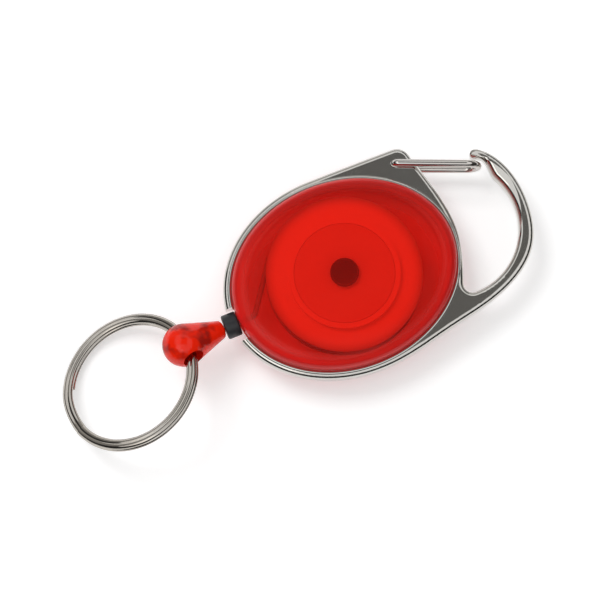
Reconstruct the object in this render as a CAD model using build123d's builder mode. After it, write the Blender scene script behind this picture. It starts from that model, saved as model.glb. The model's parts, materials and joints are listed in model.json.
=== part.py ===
"""Retractable badge reel with a carabiner frame.

Millimetres. X runs along the reel towards the hook, Z is up from the back face.
The origin is on the flat back face, on the axis of the spool.
"""
from math import acos, asin, atan2, cos, degrees, pi, radians, sin, sqrt, tan
import os

from build123d import *

os.makedirs("parts", exist_ok=True)

# ---------------------------------------------------------------- overall sizes
case_half_length = 19.4      # half the long axis of the oval case
case_half_width = 15.75      # half its short axis
case_height = 11.4           # back face to front face
frame_thickness = 3.2        # metal plate
hook_reach = 33.5            # spool axis to the outside of the hook
ring_outer_d = 24.6          # split ring, outside

# ---------------------------------------------------------------- case
cover_wall = 1.1             # side, top and bottom walls of the covers
cover_edge_round = 2.7       # rounding round the face of each cover
cover_lip = 0.9              # how far a cover laps over the frame's rim
plug_wall = 1.0              # wall of the skirt that goes through the frame
plug_clearance = 0.05        # skirt to frame window
boss_r = 3.6                 # boss round the axle in the back cover
front_boss_r = 3.4           # boss over the axle's head in the front cover
front_boss_gap = 0.05        # boss to the axle's head

# ---------------------------------------------------------------- frame
band_width = 1.45            # rim outside the cover, round the case
corner_x, corner_y = 17.5, 17.0       # top right corner of the plate, before rounding
corner_round = 2.4
hook_centre_x, hook_centre_y = 19.5, 0.7   # centre of the round hook opening
hook_opening_r = 11.55
throat_x = 17.3               # inside corner beside the case, before rounding
throat_round = 1.5
opening_top_x = 29.9         # where the round opening runs into the nose
plate_right_x = 20.6         # bulge of the plate towards the opening
nose_x, nose_y = 28.25, 11.05        # rounded tip of the hook
nose_r = 0.75
frame_round = 0.9            # rounding of the plate's outer edges
notch_clearance = 0.25       # gate's loop to its seat under the nose
band_gap_above = 2.6         # break in the rim, on each side of the cord
band_gap_below = 3.3

# ---------------------------------------------------------------- gate
wire_d = 1.25
gate_x, gate_y = 15.0, 14.5          # pivot hole
gate_length = 14.9           # pivot to the far end of the loop
gate_angle = -22.6           # direction of the closed gate
gate_bend_r = 0.9
gate_side_gap = 0.12         # each leg to the plate
pivot_clearance = 0.05       # wire to hole
gate_hole_land = 0.25        # between the two ends in the hole
gate_loop_flat = 0.1         # straight middle of the loop

# ---------------------------------------------------------------- spool and axle
spool_r = 13.2
hub_r = 9.4                  # outside of the spring chamber
hub_wall = 0.9
flange_thickness = 0.9
groove_height = 2.4          # room for the cord between the flanges
hub_rise = 0.9               # chamber above the front flange
axle_r = 1.6
axle_head_r = 2.4
axle_head_height = 0.9
axle_clearance = 0.05
spool_float = 0.15           # spool to the boss below it
axle_slot = 0.4              # slot that holds the spring's inner end

# ---------------------------------------------------------------- spring
strip_thickness = 0.15
strip_turns = 11
strip_points = 12            # points to a turn
strip_gap = 0.25             # spring to what is round it
strip_side_gap = 0.3         # spring to the chamber's floor and cover
cover_disc_thickness = 0.5

# ---------------------------------------------------------------- cord and stop
cord_d = 0.9
winding_gap = 0.05           # winding to drum and flanges
winding_depth = 3.1
bend_share = 0.45            # how much of the shorter run a bend takes
exit_y = -0.7                # the cord leaves a little below the long axis
exit_bore_d = 1.3
stop_d = 4.2
stop_length = 2.5
stop_gap = 0.05              # case to stop at rest
stop_round = 0.3

# ---------------------------------------------------------------- end fitting
fitting_clearance = 0.11     # stop to the nearest side of the fitting's mouth
fitting_mouth_r = 1.6
fitting_ball_r = 3.65
fitting_mouth_round = 0.2
fitting_ball_at = 7.4        # mouth to the centre of the ball
fitting_yaw = 5.0            # degrees, towards -Y
fitting_bore_d = 1.3
knot_r = 1.05
knot_at = 3.6                # mouth to the centre of the knot
knot_face = 0.85             # centre of the knot to the face that the cord runs into
knot_clearance = 0.15
knot_seat_gap = 0.1          # face of the knot to the floor of its pocket
ring_hole_r = 1.85
ring_hole_at = 6.95          # mouth to the axis of the ring's hole

# ---------------------------------------------------------------- split ring
ring_width = 1.85            # radial width of the wire
ring_turn = 0.8              # height of one turn; there are two
ring_edge_round = 0.35
ring_tilt = 27.0             # degrees from lying flat
ring_rise_to = -57.0         # heading of the ring's raised side
ring_heading = 5.5           # heading from the ring's centre to the hole
ring_floor_gap = 0.02        # low side of the ring to the surface it lies on

# ---------------------------------------------------------------- worked out
mid_z = case_height / 2
plate_low = mid_z - frame_thickness / 2
plate_high = mid_z + frame_thickness / 2
wire_r = wire_d / 2
cord_r = cord_d / 2
window_a = case_half_length - cover_lip
window_b = case_half_width - cover_lip
band_a = case_half_length + band_width
band_b = case_half_width + band_width

groove_low = mid_z - groove_height / 2
groove_high = mid_z + groove_height / 2
spool_low = groove_low - flange_thickness
hub_top = groove_high + flange_thickness + hub_rise
chamber_r = hub_r - hub_wall
boss_top = spool_low - spool_float
bore_r = axle_r + axle_clearance
head_low = hub_top + spool_float
axle_top = head_low + axle_head_height

winding_in = hub_r + winding_gap
winding_out = winding_in + winding_depth


def heading(angle):
    """A level unit vector at an angle from +X."""
    return Vector(cos(radians(angle)), sin(radians(angle)), 0)


# ================================================================ carabiner frame
def opening_point(x, side):
    """The point of the hook opening's round edge at x, on its upper (1) or lower (-1) side."""
    return (x, hook_centre_y + side * sqrt(hook_opening_r**2 - (x - hook_centre_x) ** 2))


throat = opening_point(throat_x, -1)
gate_direction = heading(gate_angle)
gate_tip = Vector(gate_x, gate_y, mid_z) + gate_direction * (gate_length - wire_r)

with BuildPart() as carabiner_frame:
    with BuildSketch(Plane.XY.offset(plate_low)) as plate_outline:
        # from the foot of the rim along the hook to its nose, back along the opening
        with BuildLine():
            hook_back = Spline(
                (0, -band_b),
                (13.1, -15.1),
                (25.1, -12),
                (31.35, -7.15),
                (hook_reach, 0.4),
                (32.3, 7.6),
                (nose_x + 0.5, nose_y + 0.8),
                tangents=[(1, 0), (-0.88, 0.47)],
            )
            nose = TangentArc(hook_back @ 1, (nose_x, nose_y - nose_r), tangent=hook_back % 1)
            opening = ThreePointArc(
                opening_point(opening_top_x, 1),
                (hook_centre_x + hook_opening_r, hook_centre_y),
                throat,
            )
            Spline(nose @ 1, opening @ 0, tangents=[nose % 1, opening % 0])
            Spline(throat, (19.1, -6.1), (plate_right_x, 0), (20.1, 6.3), (corner_x, corner_y))
            TangentArc((0, band_b), (corner_x, corner_y), tangent=(1, 0))
            EllipticalCenterArc((0, 0), band_a, band_b, start_angle=90, arc_size=180)
        make_face()
        for place, radius in (((corner_x, corner_y), corner_round), (throat, throat_round)):
            fillet(plate_outline.vertices().sort_by_distance((*place, 0))[0], radius)
        Ellipse(window_a, window_b, mode=Mode.SUBTRACT)
    extrude(amount=frame_thickness)
    faces_by_height = carabiner_frame.faces().sort_by(Axis.Z)
    rim_edges = faces_by_height[0].outer_wire().edges() + faces_by_height[-1].outer_wire().edges()
    fillet(rim_edges, frame_round)
    # seat for the gate's loop, hole for its ends and the break in the rim at the cord
    with Locations(gate_tip):
        Cylinder(wire_r + notch_clearance, frame_thickness, mode=Mode.SUBTRACT)
    with Locations((gate_x, gate_y, plate_high)):
        Hole(wire_r + pivot_clearance)
    with Locations((-band_a, exit_y + (band_gap_above - band_gap_below) / 2, mid_z)):
        Box(band_a, band_gap_above + band_gap_below, frame_thickness, mode=Mode.SUBTRACT)

carabiner_frame.part.label = "carabiner_frame"
export_step(carabiner_frame.part, "parts/carabiner_frame.step")

# ================================================================ gate
leg_high = plate_high + gate_side_gap + wire_r
leg_low = plate_low - gate_side_gap - wire_r
loop_r = (leg_high - leg_low - gate_loop_flat) / 2
gate_plane = Plane(
    origin=(gate_x, gate_y, mid_z),
    x_dir=gate_direction,
    z_dir=gate_direction.cross(Vector(0, 0, 1)),
)

with BuildPart() as gate_wire:
    with BuildLine(gate_plane) as gate_path:
        FilletPolyline(
            (0, gate_hole_land / 2),
            (0, leg_high - mid_z),
            (gate_length - wire_r, leg_high - mid_z),
            (gate_length - wire_r, leg_low - mid_z),
            (0, leg_low - mid_z),
            (0, -gate_hole_land / 2),
            radius=[gate_bend_r, loop_r, loop_r, gate_bend_r],
        )
    with BuildSketch(Plane(origin=gate_path.line @ 0, z_dir=gate_path.line % 0)):
        Circle(wire_r)
    sweep()

gate_wire.part.label = "gate_wire"
export_step(gate_wire.part, "parts/gate_wire.step")


# ================================================================ case covers
def cover_shell(face_z, rim_z, boss_radius, boss_z):
    """A cover with its face at face_z and its rim at rim_z, a skirt to the middle and a boss."""
    height = abs(rim_z - face_z)
    inward = 1 if rim_z > face_z else -1
    at_face = Plane(origin=(0, 0, face_z), z_dir=(0, 0, inward))
    skirt_a = window_a - plug_clearance
    skirt_b = window_b - plug_clearance
    room_a = skirt_a - plug_wall
    room_b = skirt_b - plug_wall
    with BuildPart() as room:
        with BuildSketch(at_face.offset(cover_wall)):
            Ellipse(room_a, room_b)
        extrude(amount=abs(mid_z - face_z) - cover_wall)
        floor = room.faces().sort_by(Axis.Z)[0 if inward > 0 else -1]
        fillet(floor.edges(), cover_edge_round - cover_wall)
    with BuildPart() as cover:
        with BuildSketch(at_face):
            Ellipse(case_half_length, case_half_width)
        extrude(amount=height)
        outside = cover.faces().sort_by(Axis.Z)[0 if inward > 0 else -1]
        fillet(outside.edges(), cover_edge_round)
        with BuildSketch(at_face.offset(height)):
            Ellipse(skirt_a, skirt_b)
        extrude(amount=abs(mid_z - rim_z))
        add(room.part, mode=Mode.SUBTRACT)
        with BuildSketch(at_face.offset(cover_wall)):
            Circle(boss_radius)
        extrude(amount=abs(boss_z - face_z) - cover_wall)
    return cover


# half of the cord's exit is in each cover, where the skirts meet
exit_plane = Plane(origin=(-case_half_length, exit_y, mid_z), z_dir=(1, 0, 0))

with BuildPart() as back_cover:
    add(cover_shell(0, plate_low, boss_r, boss_top).part)
    with Locations((0, 0, boss_top)):
        Hole(axle_r, depth=boss_top - cover_wall)
    with BuildSketch(exit_plane):
        Circle(exit_bore_d / 2)
    extrude(amount=case_half_length / 2, mode=Mode.SUBTRACT)

back_cover.part.label = "back_cover"
export_step(back_cover.part, "parts/back_cover.step")

front_boss_z = axle_top + front_boss_gap
with BuildPart() as front_cover:
    add(cover_shell(case_height, plate_high, front_boss_r, front_boss_z).part)
    with BuildSketch(exit_plane):
        Circle(exit_bore_d / 2)
    extrude(amount=case_half_length / 2, mode=Mode.SUBTRACT)

front_cover.part.label = "front_cover"
export_step(front_cover.part, "parts/front_cover.step")

# ================================================================ spool, axle and spring
with BuildPart() as spool_drum:
    with BuildSketch(Plane.XZ):
        with BuildLine():
            Polyline(
                (bore_r, spool_low),
                (spool_r, spool_low),
                (spool_r, groove_low),
                (hub_r, groove_low),
                (hub_r, groove_high),
                (spool_r, groove_high),
                (spool_r, groove_high + flange_thickness),
                (hub_r, groove_high + flange_thickness),
                (hub_r, hub_top),
                (chamber_r, hub_top),
                (chamber_r, groove_low),
                (bore_r, groove_low),
                close=True,
            )
        make_face()
    revolve(axis=Axis.Z)

spool_drum.part.label = "spool_drum"
export_step(spool_drum.part, "parts/spool_drum.step")

with BuildPart() as spring_cover:
    with BuildSketch(Plane.XY.offset(hub_top - cover_disc_thickness)):
        Circle(chamber_r - axle_clearance)
        Circle(bore_r, mode=Mode.SUBTRACT)
    extrude(amount=cover_disc_thickness)

spring_cover.part.label = "spring_cover"
export_step(spring_cover.part, "parts/spring_cover.step")

spring_low = groove_low + strip_side_gap
spring_high = hub_top - cover_disc_thickness - strip_side_gap
with BuildPart() as spool_axle:
    with BuildSketch(Plane.XY.offset(cover_wall)):
        Circle(axle_r)
    extrude(amount=head_low - cover_wall)
    with BuildSketch(Plane.XY.offset(head_low)):
        Circle(axle_head_r)
    extrude(amount=axle_top - head_low)
    fillet(spool_axle.edges().group_by(Axis.Z)[-1], axle_head_height / 3)
    with Locations((0, 0, (spring_low + hub_top) / 2)):
        Box(axle_slot, 2 * axle_r, hub_top - spring_low, mode=Mode.SUBTRACT)

spool_axle.part.label = "spool_axle"
export_step(spool_axle.part, "parts/spool_axle.step")

# flat spiral: its turns lie packed against the chamber wall, one open turn runs in to the axle
spiral_in = axle_r + strip_gap + strip_thickness / 2
spiral_out = chamber_r - strip_gap - strip_thickness / 2


def spiral_point(turn, side):
    """A point on the inner (-1) or outer (1) side of the strip, so many turns out."""
    share = sqrt(turn / strip_turns)
    radius = spiral_in + (spiral_out - spiral_in) * share + side * strip_thickness / 2
    angle = 2 * pi * turn + pi / 2
    return (radius * cos(angle), radius * sin(angle))


with BuildPart() as power_spring:
    with BuildSketch(Plane.XY.offset(spring_low)):
        with BuildLine():
            turns_out = [step / strip_points for step in range(strip_points * strip_turns + 1)]
            near = Spline([spiral_point(turn, -1) for turn in turns_out])
            far = Spline([spiral_point(turn, 1) for turn in turns_out])
            Line(near @ 0, far @ 0)
            Line(near @ 1, far @ 1)
        make_face()
        # inner end, bent in to the slot of the axle
        with Locations((0, spiral_in / 2)):
            Rectangle(strip_thickness, spiral_in)
    extrude(amount=spring_high - spring_low)

power_spring.part.label = "power_spring"
export_step(power_spring.part, "parts/power_spring.step")

# ================================================================ cord, knot and stop
with BuildPart() as cord_winding:
    with BuildSketch(Plane.XY.offset(groove_low + winding_gap)):
        Circle(winding_out)
        Circle(winding_in, mode=Mode.SUBTRACT)
    extrude(amount=groove_height - 2 * winding_gap)

cord_winding.part.label = "cord_winding"
export_step(cord_winding.part, "parts/cord_winding.step")

# the cord leaves the winding at a tangent and bends over the edge of the exit
lead_r = winding_out + winding_gap + cord_r
bend_x = -(window_a - plug_clearance - plug_wall) + cord_d
bend_distance = sqrt(bend_x**2 + exit_y**2)
leave_angle = degrees(atan2(exit_y, bend_x)) % 360 - degrees(acos(lead_r / bend_distance))
leave_point = heading(leave_angle) * lead_r + Vector(0, 0, mid_z)
bend_point = Vector(bend_x, exit_y, mid_z)
handover = Vector(-(window_a - plug_clearance - plug_wall / 2), exit_y, mid_z)
lead_turn = (bend_point - leave_point).get_angle(handover - bend_point)
lead_bend_r = bend_share * (handover - bend_point).length / tan(radians(lead_turn / 2))

with BuildPart() as cord_lead:
    with BuildLine() as lead_path:
        FilletPolyline(leave_point, bend_point, handover, radius=lead_bend_r)
    with BuildSketch(Plane(origin=lead_path.line @ 0, z_dir=lead_path.line % 0)):
        Circle(cord_r)
    sweep()

cord_lead.part.label = "cord_lead"
export_step(cord_lead.part, "parts/cord_lead.step")

stop_face_x = -(case_half_length + stop_gap)
with BuildPart() as bump_stop:
    with BuildSketch(Plane(origin=(stop_face_x, exit_y, mid_z), z_dir=(-1, 0, 0))):
        Circle(stop_d / 2)
        Circle(exit_bore_d / 2, mode=Mode.SUBTRACT)
    extrude(amount=stop_length)
    outer_rims = bump_stop.edges().filter_by(GeomType.CIRCLE).filter_by(
        lambda e: e.radius > exit_bore_d
    )
    fillet(outer_rims, stop_round)

bump_stop.part.label = "bump_stop"
export_step(bump_stop.part, "parts/bump_stop.step")

# ---------------------------------------------------------------- lie of ring and fitting
# the ring leans on its low side, and holds the fitting up by the height of its hole
ring_outer_r = ring_outer_d / 2
ring_mean_r = ring_outer_r - ring_width / 2
ring_normal = heading(ring_rise_to + 180) * sin(radians(ring_tilt)) + Vector(
    0, 0, cos(radians(ring_tilt))
)
to_hole = heading(ring_heading)
to_hole = (to_hole - ring_normal * to_hole.dot(ring_normal)).normalized()
hole_axis = ring_normal.cross(to_hole)
ring_centre_z = (
    ring_outer_r * sin(radians(ring_tilt)) + ring_turn * cos(radians(ring_tilt)) + ring_floor_gap
)
hole_z = ring_centre_z + to_hole.Z * ring_mean_r
mouth_lean = (fitting_mouth_r - fitting_mouth_round) * (hole_z - mid_z) / ring_hole_at
fitting_gap = fitting_clearance + mouth_lean

swivel_point = Vector(stop_face_x - stop_length - fitting_gap / 2, exit_y, mid_z)
fitting_lift = degrees(asin((hole_z - mid_z) / (ring_hole_at + fitting_gap / 2)))
fitting_axis = heading(180 + fitting_yaw) * cos(radians(fitting_lift)) + Vector(
    0, 0, sin(radians(fitting_lift))
)
mouth = swivel_point + fitting_axis * (fitting_gap / 2)
hole_point = mouth + fitting_axis * ring_hole_at
ring_centre = hole_point - to_hole * ring_mean_r
fitting_plane = Plane(
    origin=mouth, x_dir=fitting_axis, z_dir=fitting_axis.cross(Vector(0, 0, 1)).normalized()
)
mouth_plane = Plane(origin=mouth, z_dir=fitting_axis)

# ---------------------------------------------------------------- cord through the stop
knot_point = mouth + fitting_axis * knot_at
knot_face_point = mouth + fitting_axis * (knot_at - knot_face)
tail_runs = min((swivel_point - handover).length, (knot_face_point - swivel_point).length)
tail_turn = (swivel_point - handover).get_angle(knot_face_point - swivel_point)
tail_bend_r = bend_share * tail_runs / tan(radians(tail_turn / 2))

with BuildPart() as cord_tail:
    with BuildLine() as tail_path:
        FilletPolyline(handover, swivel_point, knot_face_point, radius=tail_bend_r)
    with BuildSketch(Plane(origin=tail_path.line @ 0, z_dir=tail_path.line % 0)):
        Circle(cord_r)
    sweep()

cord_tail.part.label = "cord_tail"
export_step(cord_tail.part, "parts/cord_tail.step")

with BuildPart() as cord_knot:
    with Locations(knot_point):
        Sphere(knot_r)
    split(bisect_by=Plane(origin=knot_face_point, z_dir=fitting_axis), keep=Keep.TOP)

cord_knot.part.label = "cord_knot"
export_step(cord_knot.part, "parts/cord_knot.step")

# ================================================================ end fitting
pocket_floor = knot_at - knot_face - knot_seat_gap
cone_distance = sqrt(fitting_ball_at**2 + fitting_mouth_r**2)
cone_angle = pi - atan2(fitting_mouth_r, fitting_ball_at) - acos(fitting_ball_r / cone_distance)
cone_end = (
    fitting_ball_at + fitting_ball_r * cos(cone_angle),
    fitting_ball_r * sin(cone_angle),
)
ball_side = (
    fitting_ball_at + fitting_ball_r * cos(cone_angle / 2),
    fitting_ball_r * sin(cone_angle / 2),
)

with BuildPart() as end_fitting:
    with BuildSketch(fitting_plane):
        with BuildLine():
            Polyline((fitting_ball_at + fitting_ball_r, 0), (0, 0), (0, fitting_mouth_r), cone_end)
            ThreePointArc(cone_end, ball_side, (fitting_ball_at + fitting_ball_r, 0))
        make_face()
    revolve(axis=Axis(mouth, fitting_axis))
    mouth_rim = end_fitting.edges().filter_by(GeomType.CIRCLE).sort_by_distance(mouth)[0]
    fillet(mouth_rim, fitting_mouth_round)
    # bore for the cord, pocket for its knot, and the ring's hole across them
    with BuildSketch(mouth_plane):
        Circle(fitting_bore_d / 2)
    extrude(amount=knot_at, mode=Mode.SUBTRACT)
    with BuildSketch(mouth_plane.offset(pocket_floor)):
        Circle(knot_r + knot_clearance)
    extrude(amount=ring_hole_at - pocket_floor, mode=Mode.SUBTRACT)
    with BuildSketch(Plane(origin=hole_point, z_dir=hole_axis)):
        Circle(ring_hole_r)
    extrude(amount=2 * fitting_ball_r, both=True, mode=Mode.SUBTRACT)

end_fitting.part.label = "end_fitting"
export_step(end_fitting.part, "parts/end_fitting.step")

# ================================================================ split ring
section_plane = Plane(origin=ring_centre, x_dir=to_hole, z_dir=hole_axis)

with BuildPart() as split_ring:
    with BuildSketch(section_plane):
        with Locations((ring_mean_r, ring_turn / 2), (ring_mean_r, -ring_turn / 2)):
            RectangleRounded(ring_width, ring_turn, ring_edge_round)
    revolve(axis=Axis(ring_centre, ring_normal))

split_ring.part.label = "split_ring"
export_step(split_ring.part, "parts/split_ring.step")

print("cord bends, mm:", round(lead_bend_r, 2), round(tail_bend_r, 2))
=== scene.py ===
"""Looks of a retractable badge reel: a red oval case in a plated carabiner frame.

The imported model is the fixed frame. Sizes below are metres unless a name says otherwise.
"""

from __future__ import annotations

import json
import logging
import math
from contextlib import contextmanager
from dataclasses import dataclass
from enum import Enum
from typing import Iterable, Iterator, Sequence

import bpy
from mathutils import Matrix, Vector

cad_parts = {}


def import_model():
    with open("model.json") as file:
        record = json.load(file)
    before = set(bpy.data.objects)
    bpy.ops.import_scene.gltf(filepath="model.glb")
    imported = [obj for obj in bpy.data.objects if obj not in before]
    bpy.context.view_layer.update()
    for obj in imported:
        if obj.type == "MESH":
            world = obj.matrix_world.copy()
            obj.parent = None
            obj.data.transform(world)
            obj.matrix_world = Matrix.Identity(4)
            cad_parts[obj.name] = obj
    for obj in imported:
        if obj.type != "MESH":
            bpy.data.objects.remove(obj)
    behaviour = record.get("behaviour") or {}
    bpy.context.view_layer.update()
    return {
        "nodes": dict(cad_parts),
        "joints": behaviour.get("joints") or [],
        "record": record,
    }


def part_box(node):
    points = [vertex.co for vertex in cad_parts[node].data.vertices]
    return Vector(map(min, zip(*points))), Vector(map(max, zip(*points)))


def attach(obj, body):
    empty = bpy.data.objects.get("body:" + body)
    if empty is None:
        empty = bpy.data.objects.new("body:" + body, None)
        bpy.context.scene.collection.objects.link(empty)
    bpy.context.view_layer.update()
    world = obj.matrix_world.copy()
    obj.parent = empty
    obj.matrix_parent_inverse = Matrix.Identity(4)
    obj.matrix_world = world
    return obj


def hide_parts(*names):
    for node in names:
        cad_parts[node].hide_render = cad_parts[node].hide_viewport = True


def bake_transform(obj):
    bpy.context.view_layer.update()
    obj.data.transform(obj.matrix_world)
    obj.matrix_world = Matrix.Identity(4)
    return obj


MM = 0.001
TURN = 2 * math.pi
LOG = logging.getLogger("badge_reel")

Triple = tuple[float, float, float]
Colour = Triple
Outline = list[tuple[float, float]]


class Way(Enum):
    """Which side of the object a face looks to."""

    UP = 1
    DOWN = -1


# ------------------------------------------------------------------ shader maths
class Signal:
    """A number that changes over a surface, with arithmetic that adds Math nodes."""

    def __init__(self, sheet: ShaderSheet, socket: bpy.types.NodeSocket) -> None:
        """Wraps an output socket of a sheet's node."""
        self.sheet = sheet
        self.socket = socket

    def maths(
        self, operation: str, first: Signal | float, second: Signal | float = 0.0
    ) -> Signal:
        """Adds one Math node.

        Args:
            operation: the node's operation, such as MULTIPLY.
            first: a Signal or a number.
            second: a Signal or a number.

        Returns:
            The node's result.
        """
        node = self.sheet.node(
            "ShaderNodeMath", {"operation": operation}, {0: first, 1: second}
        )
        return Signal(self.sheet, node.outputs[0])

    def __add__(self, other: Signal | float) -> Signal:
        """Sum."""
        return self.maths("ADD", self, other)

    def __radd__(self, other: Signal | float) -> Signal:
        """Sum, reflected."""
        return self.maths("ADD", other, self)

    def __sub__(self, other: Signal | float) -> Signal:
        """Difference."""
        return self.maths("SUBTRACT", self, other)

    def __rsub__(self, other: Signal | float) -> Signal:
        """Difference, reflected."""
        return self.maths("SUBTRACT", other, self)

    def __mul__(self, other: Signal | float) -> Signal:
        """Product."""
        return self.maths("MULTIPLY", self, other)

    def __truediv__(self, other: Signal | float) -> Signal:
        """Quotient."""
        return self.maths("DIVIDE", self, other)

    def __pow__(self, other: Signal | float) -> Signal:
        """Power."""
        return self.maths("POWER", self, other)

    def at_least(self, other: Signal | float) -> Signal:
        """The greater of this and another value."""
        return self.maths("MAXIMUM", self, other)

    def at_most(self, other: Signal | float) -> Signal:
        """The smaller of this and another value."""
        return self.maths("MINIMUM", self, other)

    def above(self, edge: float, softness: float) -> Signal:
        """0 well under edge and 1 well over it, with a straight ramp between."""
        return ((self - edge) * (1 / softness) + 0.5).at_least(0.0).at_most(1.0)


class ShaderSheet:
    """The node tree of one material, or of the world."""

    def __init__(self, name: str, holders: bpy.types.bpy_prop_collection | None = None) -> None:
        """Starts an empty tree.

        Args:
            name: the name of the material or the world.
            holders: where it is kept; among the materials, if it isn't given.
        """
        self.owner = (bpy.data.materials if holders is None else holders).new(name)
        self.owner.use_nodes = True
        self.tree = self.owner.node_tree
        self.tree.nodes.clear()

    def node(
        self, kind: str, settings: dict[str, object], inputs: dict[str | int, object]
    ) -> bpy.types.Node:
        """Adds a node.

        Args:
            kind: the node's type.
            settings: its properties, set before its sockets.
            inputs: a value, Signal or socket for each input's name or number.

        Returns:
            The node.
        """
        made = self.tree.nodes.new(kind)
        for key, value in settings.items():
            setattr(made, key, value)
        for key, value in inputs.items():
            socket = made.inputs[key]
            if isinstance(value, Signal):
                self.tree.links.new(value.socket, socket)
            elif isinstance(value, bpy.types.NodeSocket):
                self.tree.links.new(value, socket)
            else:
                socket.default_value = value
        return made

    def place(
        self, stretch: Sequence[float] = (1, 1, 1), turn: Sequence[float] = (0, 0, 0)
    ) -> bpy.types.NodeSocket:
        """The point on the object.

        Args:
            stretch: scale along each axis.
            turn: rotation about each axis.

        Returns:
            The stretched and turned point, as a vector socket.
        """
        coordinates = self.node("ShaderNodeTexCoord", {}, {})
        mapping = self.node(
            "ShaderNodeMapping",
            {},
            {"Vector": coordinates.outputs["Object"], "Scale": stretch, "Rotation": turn},
        )
        return mapping.outputs[0]

    def level_place(self) -> tuple[Signal, Signal]:
        """The point's X and Y on the object, as two Signals."""
        split = self.node("ShaderNodeSeparateXYZ", {}, {"Vector": self.place()})
        return Signal(self, split.outputs[0]), Signal(self, split.outputs[1])

    def noise(
        self,
        per_metre: float,
        detail: float = 2.0,
        rough: float = 0.5,
        stretch: Sequence[float] = (1, 1, 1),
        turn: Sequence[float] = (0, 0, 0),
    ) -> Signal:
        """A noise from 0 to 1.

        Args:
            per_metre: how many blotches there are to a metre.
            detail: octaves.
            rough: strength of the finer octaves.
            stretch: scale along each axis.
            turn: rotation of the pattern.

        Returns:
            The noise.
        """
        made = self.node(
            "ShaderNodeTexNoise",
            {},
            {
                "Vector": self.place(stretch, turn),
                "Scale": per_metre,
                "Detail": detail,
                "Roughness": rough,
            },
        )
        return Signal(self, made.outputs[0])

    def blend_colours(
        self,
        share: Signal,
        low: Colour | bpy.types.NodeSocket,
        high: Colour | bpy.types.NodeSocket,
    ) -> bpy.types.NodeSocket:
        """A colour that goes from low to high.

        Args:
            share: how far it has gone, from 0 to 1.
            low: a colour or a colour socket.
            high: a colour or a colour socket.

        Returns:
            The colour's socket.
        """
        first, second = (rgba(end) if isinstance(end, tuple) else end for end in (low, high))
        made = self.node("ShaderNodeMix", {"data_type": "RGBA"}, {0: share, 6: first, 7: second})
        return made.outputs[2]

    def bump(self, height: Signal, depth: float) -> bpy.types.NodeSocket:
        """A normal from a height map whose whole range is depth metres."""
        return self.node("ShaderNodeBump", {}, {"Height": height, "Distance": depth}).outputs[0]

    def facing(self) -> Signal:
        """0 where the surface faces the viewer and 1 at its edge."""
        made = self.node("ShaderNodeLayerWeight", {}, {"Blend": 0.5})
        return Signal(self, made.outputs["Facing"])

    def seen(self) -> Signal:
        """Tells how a surface is met by the light's path.

        Returns:
            1 where it is looked at, mirrored or looked through, and 0 elsewhere.
        """
        path = self.node("ShaderNodeLightPath", {}, {})
        camera, glossy, through = (
            Signal(self, path.outputs[name])
            for name in ("Is Camera Ray", "Is Glossy Ray", "Is Transmission Ray")
        )
        return camera.at_least(glossy).at_least(through)

    def principled(self, inputs: dict[str | int, object]) -> bpy.types.Node:
        """The main surface shader."""
        return self.node("ShaderNodeBsdfPrincipled", {}, inputs)

    def finish(self, surface: bpy.types.NodeSocket) -> bpy.types.Material:
        """Links the surface to the output and returns the material."""
        self.node("ShaderNodeOutputMaterial", {}, {"Surface": surface})
        return self.owner


def rgba(colour: Colour) -> tuple[float, float, float, float]:
    """A colour with full alpha."""
    return (*colour, 1.0)


# ------------------------------------------------------------------ finishes
@dataclass(frozen=True)
class PlatedMetal:
    """Bright plating over a casting or a wire."""

    name: str
    colour: Colour = (0.63, 0.63, 0.62)
    warm: Colour = (0.57, 0.54, 0.49)
    roughness: float = 0.06
    haze: float = 0.10
    ripple: float = 0.00002
    drift_per_metre: float = 90.0
    patches_per_metre: float = 420.0
    scratches_per_metre: float = 900.0
    ripples_per_metre: float = 260.0
    scratch_stretch: Triple = (1.0, 14.0, 4.0)
    scratch_turn: float = 0.5
    scratch_depth: float = 0.04
    scratch_haze: float = 0.08

    def relief(self, sheet: ShaderSheet, grain: Signal) -> bpy.types.NodeSocket:
        """The normal of the plated surface, from its fine grain."""
        return sheet.bump(grain, self.ripple)

    def material(self) -> bpy.types.Material:
        """Builds the plating: slow colour drift, hazy patches, hairline marks and ripple.

        Returns:
            The material.
        """
        sheet = ShaderSheet(self.name)
        drift = sheet.noise(self.drift_per_metre, 3, 0.6)
        patches = sheet.noise(self.patches_per_metre, 4, 0.65).above(0.55, 0.35)
        turn = (0, 0, self.scratch_turn)
        marks = sheet.noise(self.scratches_per_metre, 2, 0.7, self.scratch_stretch, turn)
        hairlines = marks.above(0.66, 0.1)
        grain = sheet.noise(self.ripples_per_metre, 2, 0.4)
        rough = self.roughness + patches * self.haze + hairlines * self.scratch_haze
        shader = sheet.principled(
            {
                "Base Color": sheet.blend_colours(drift, self.colour, self.warm),
                "Metallic": 1.0,
                "Roughness": rough,
                "Normal": self.relief(sheet, grain + hairlines * self.scratch_depth),
            }
        )
        return sheet.finish(shader.outputs[0])


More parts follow.
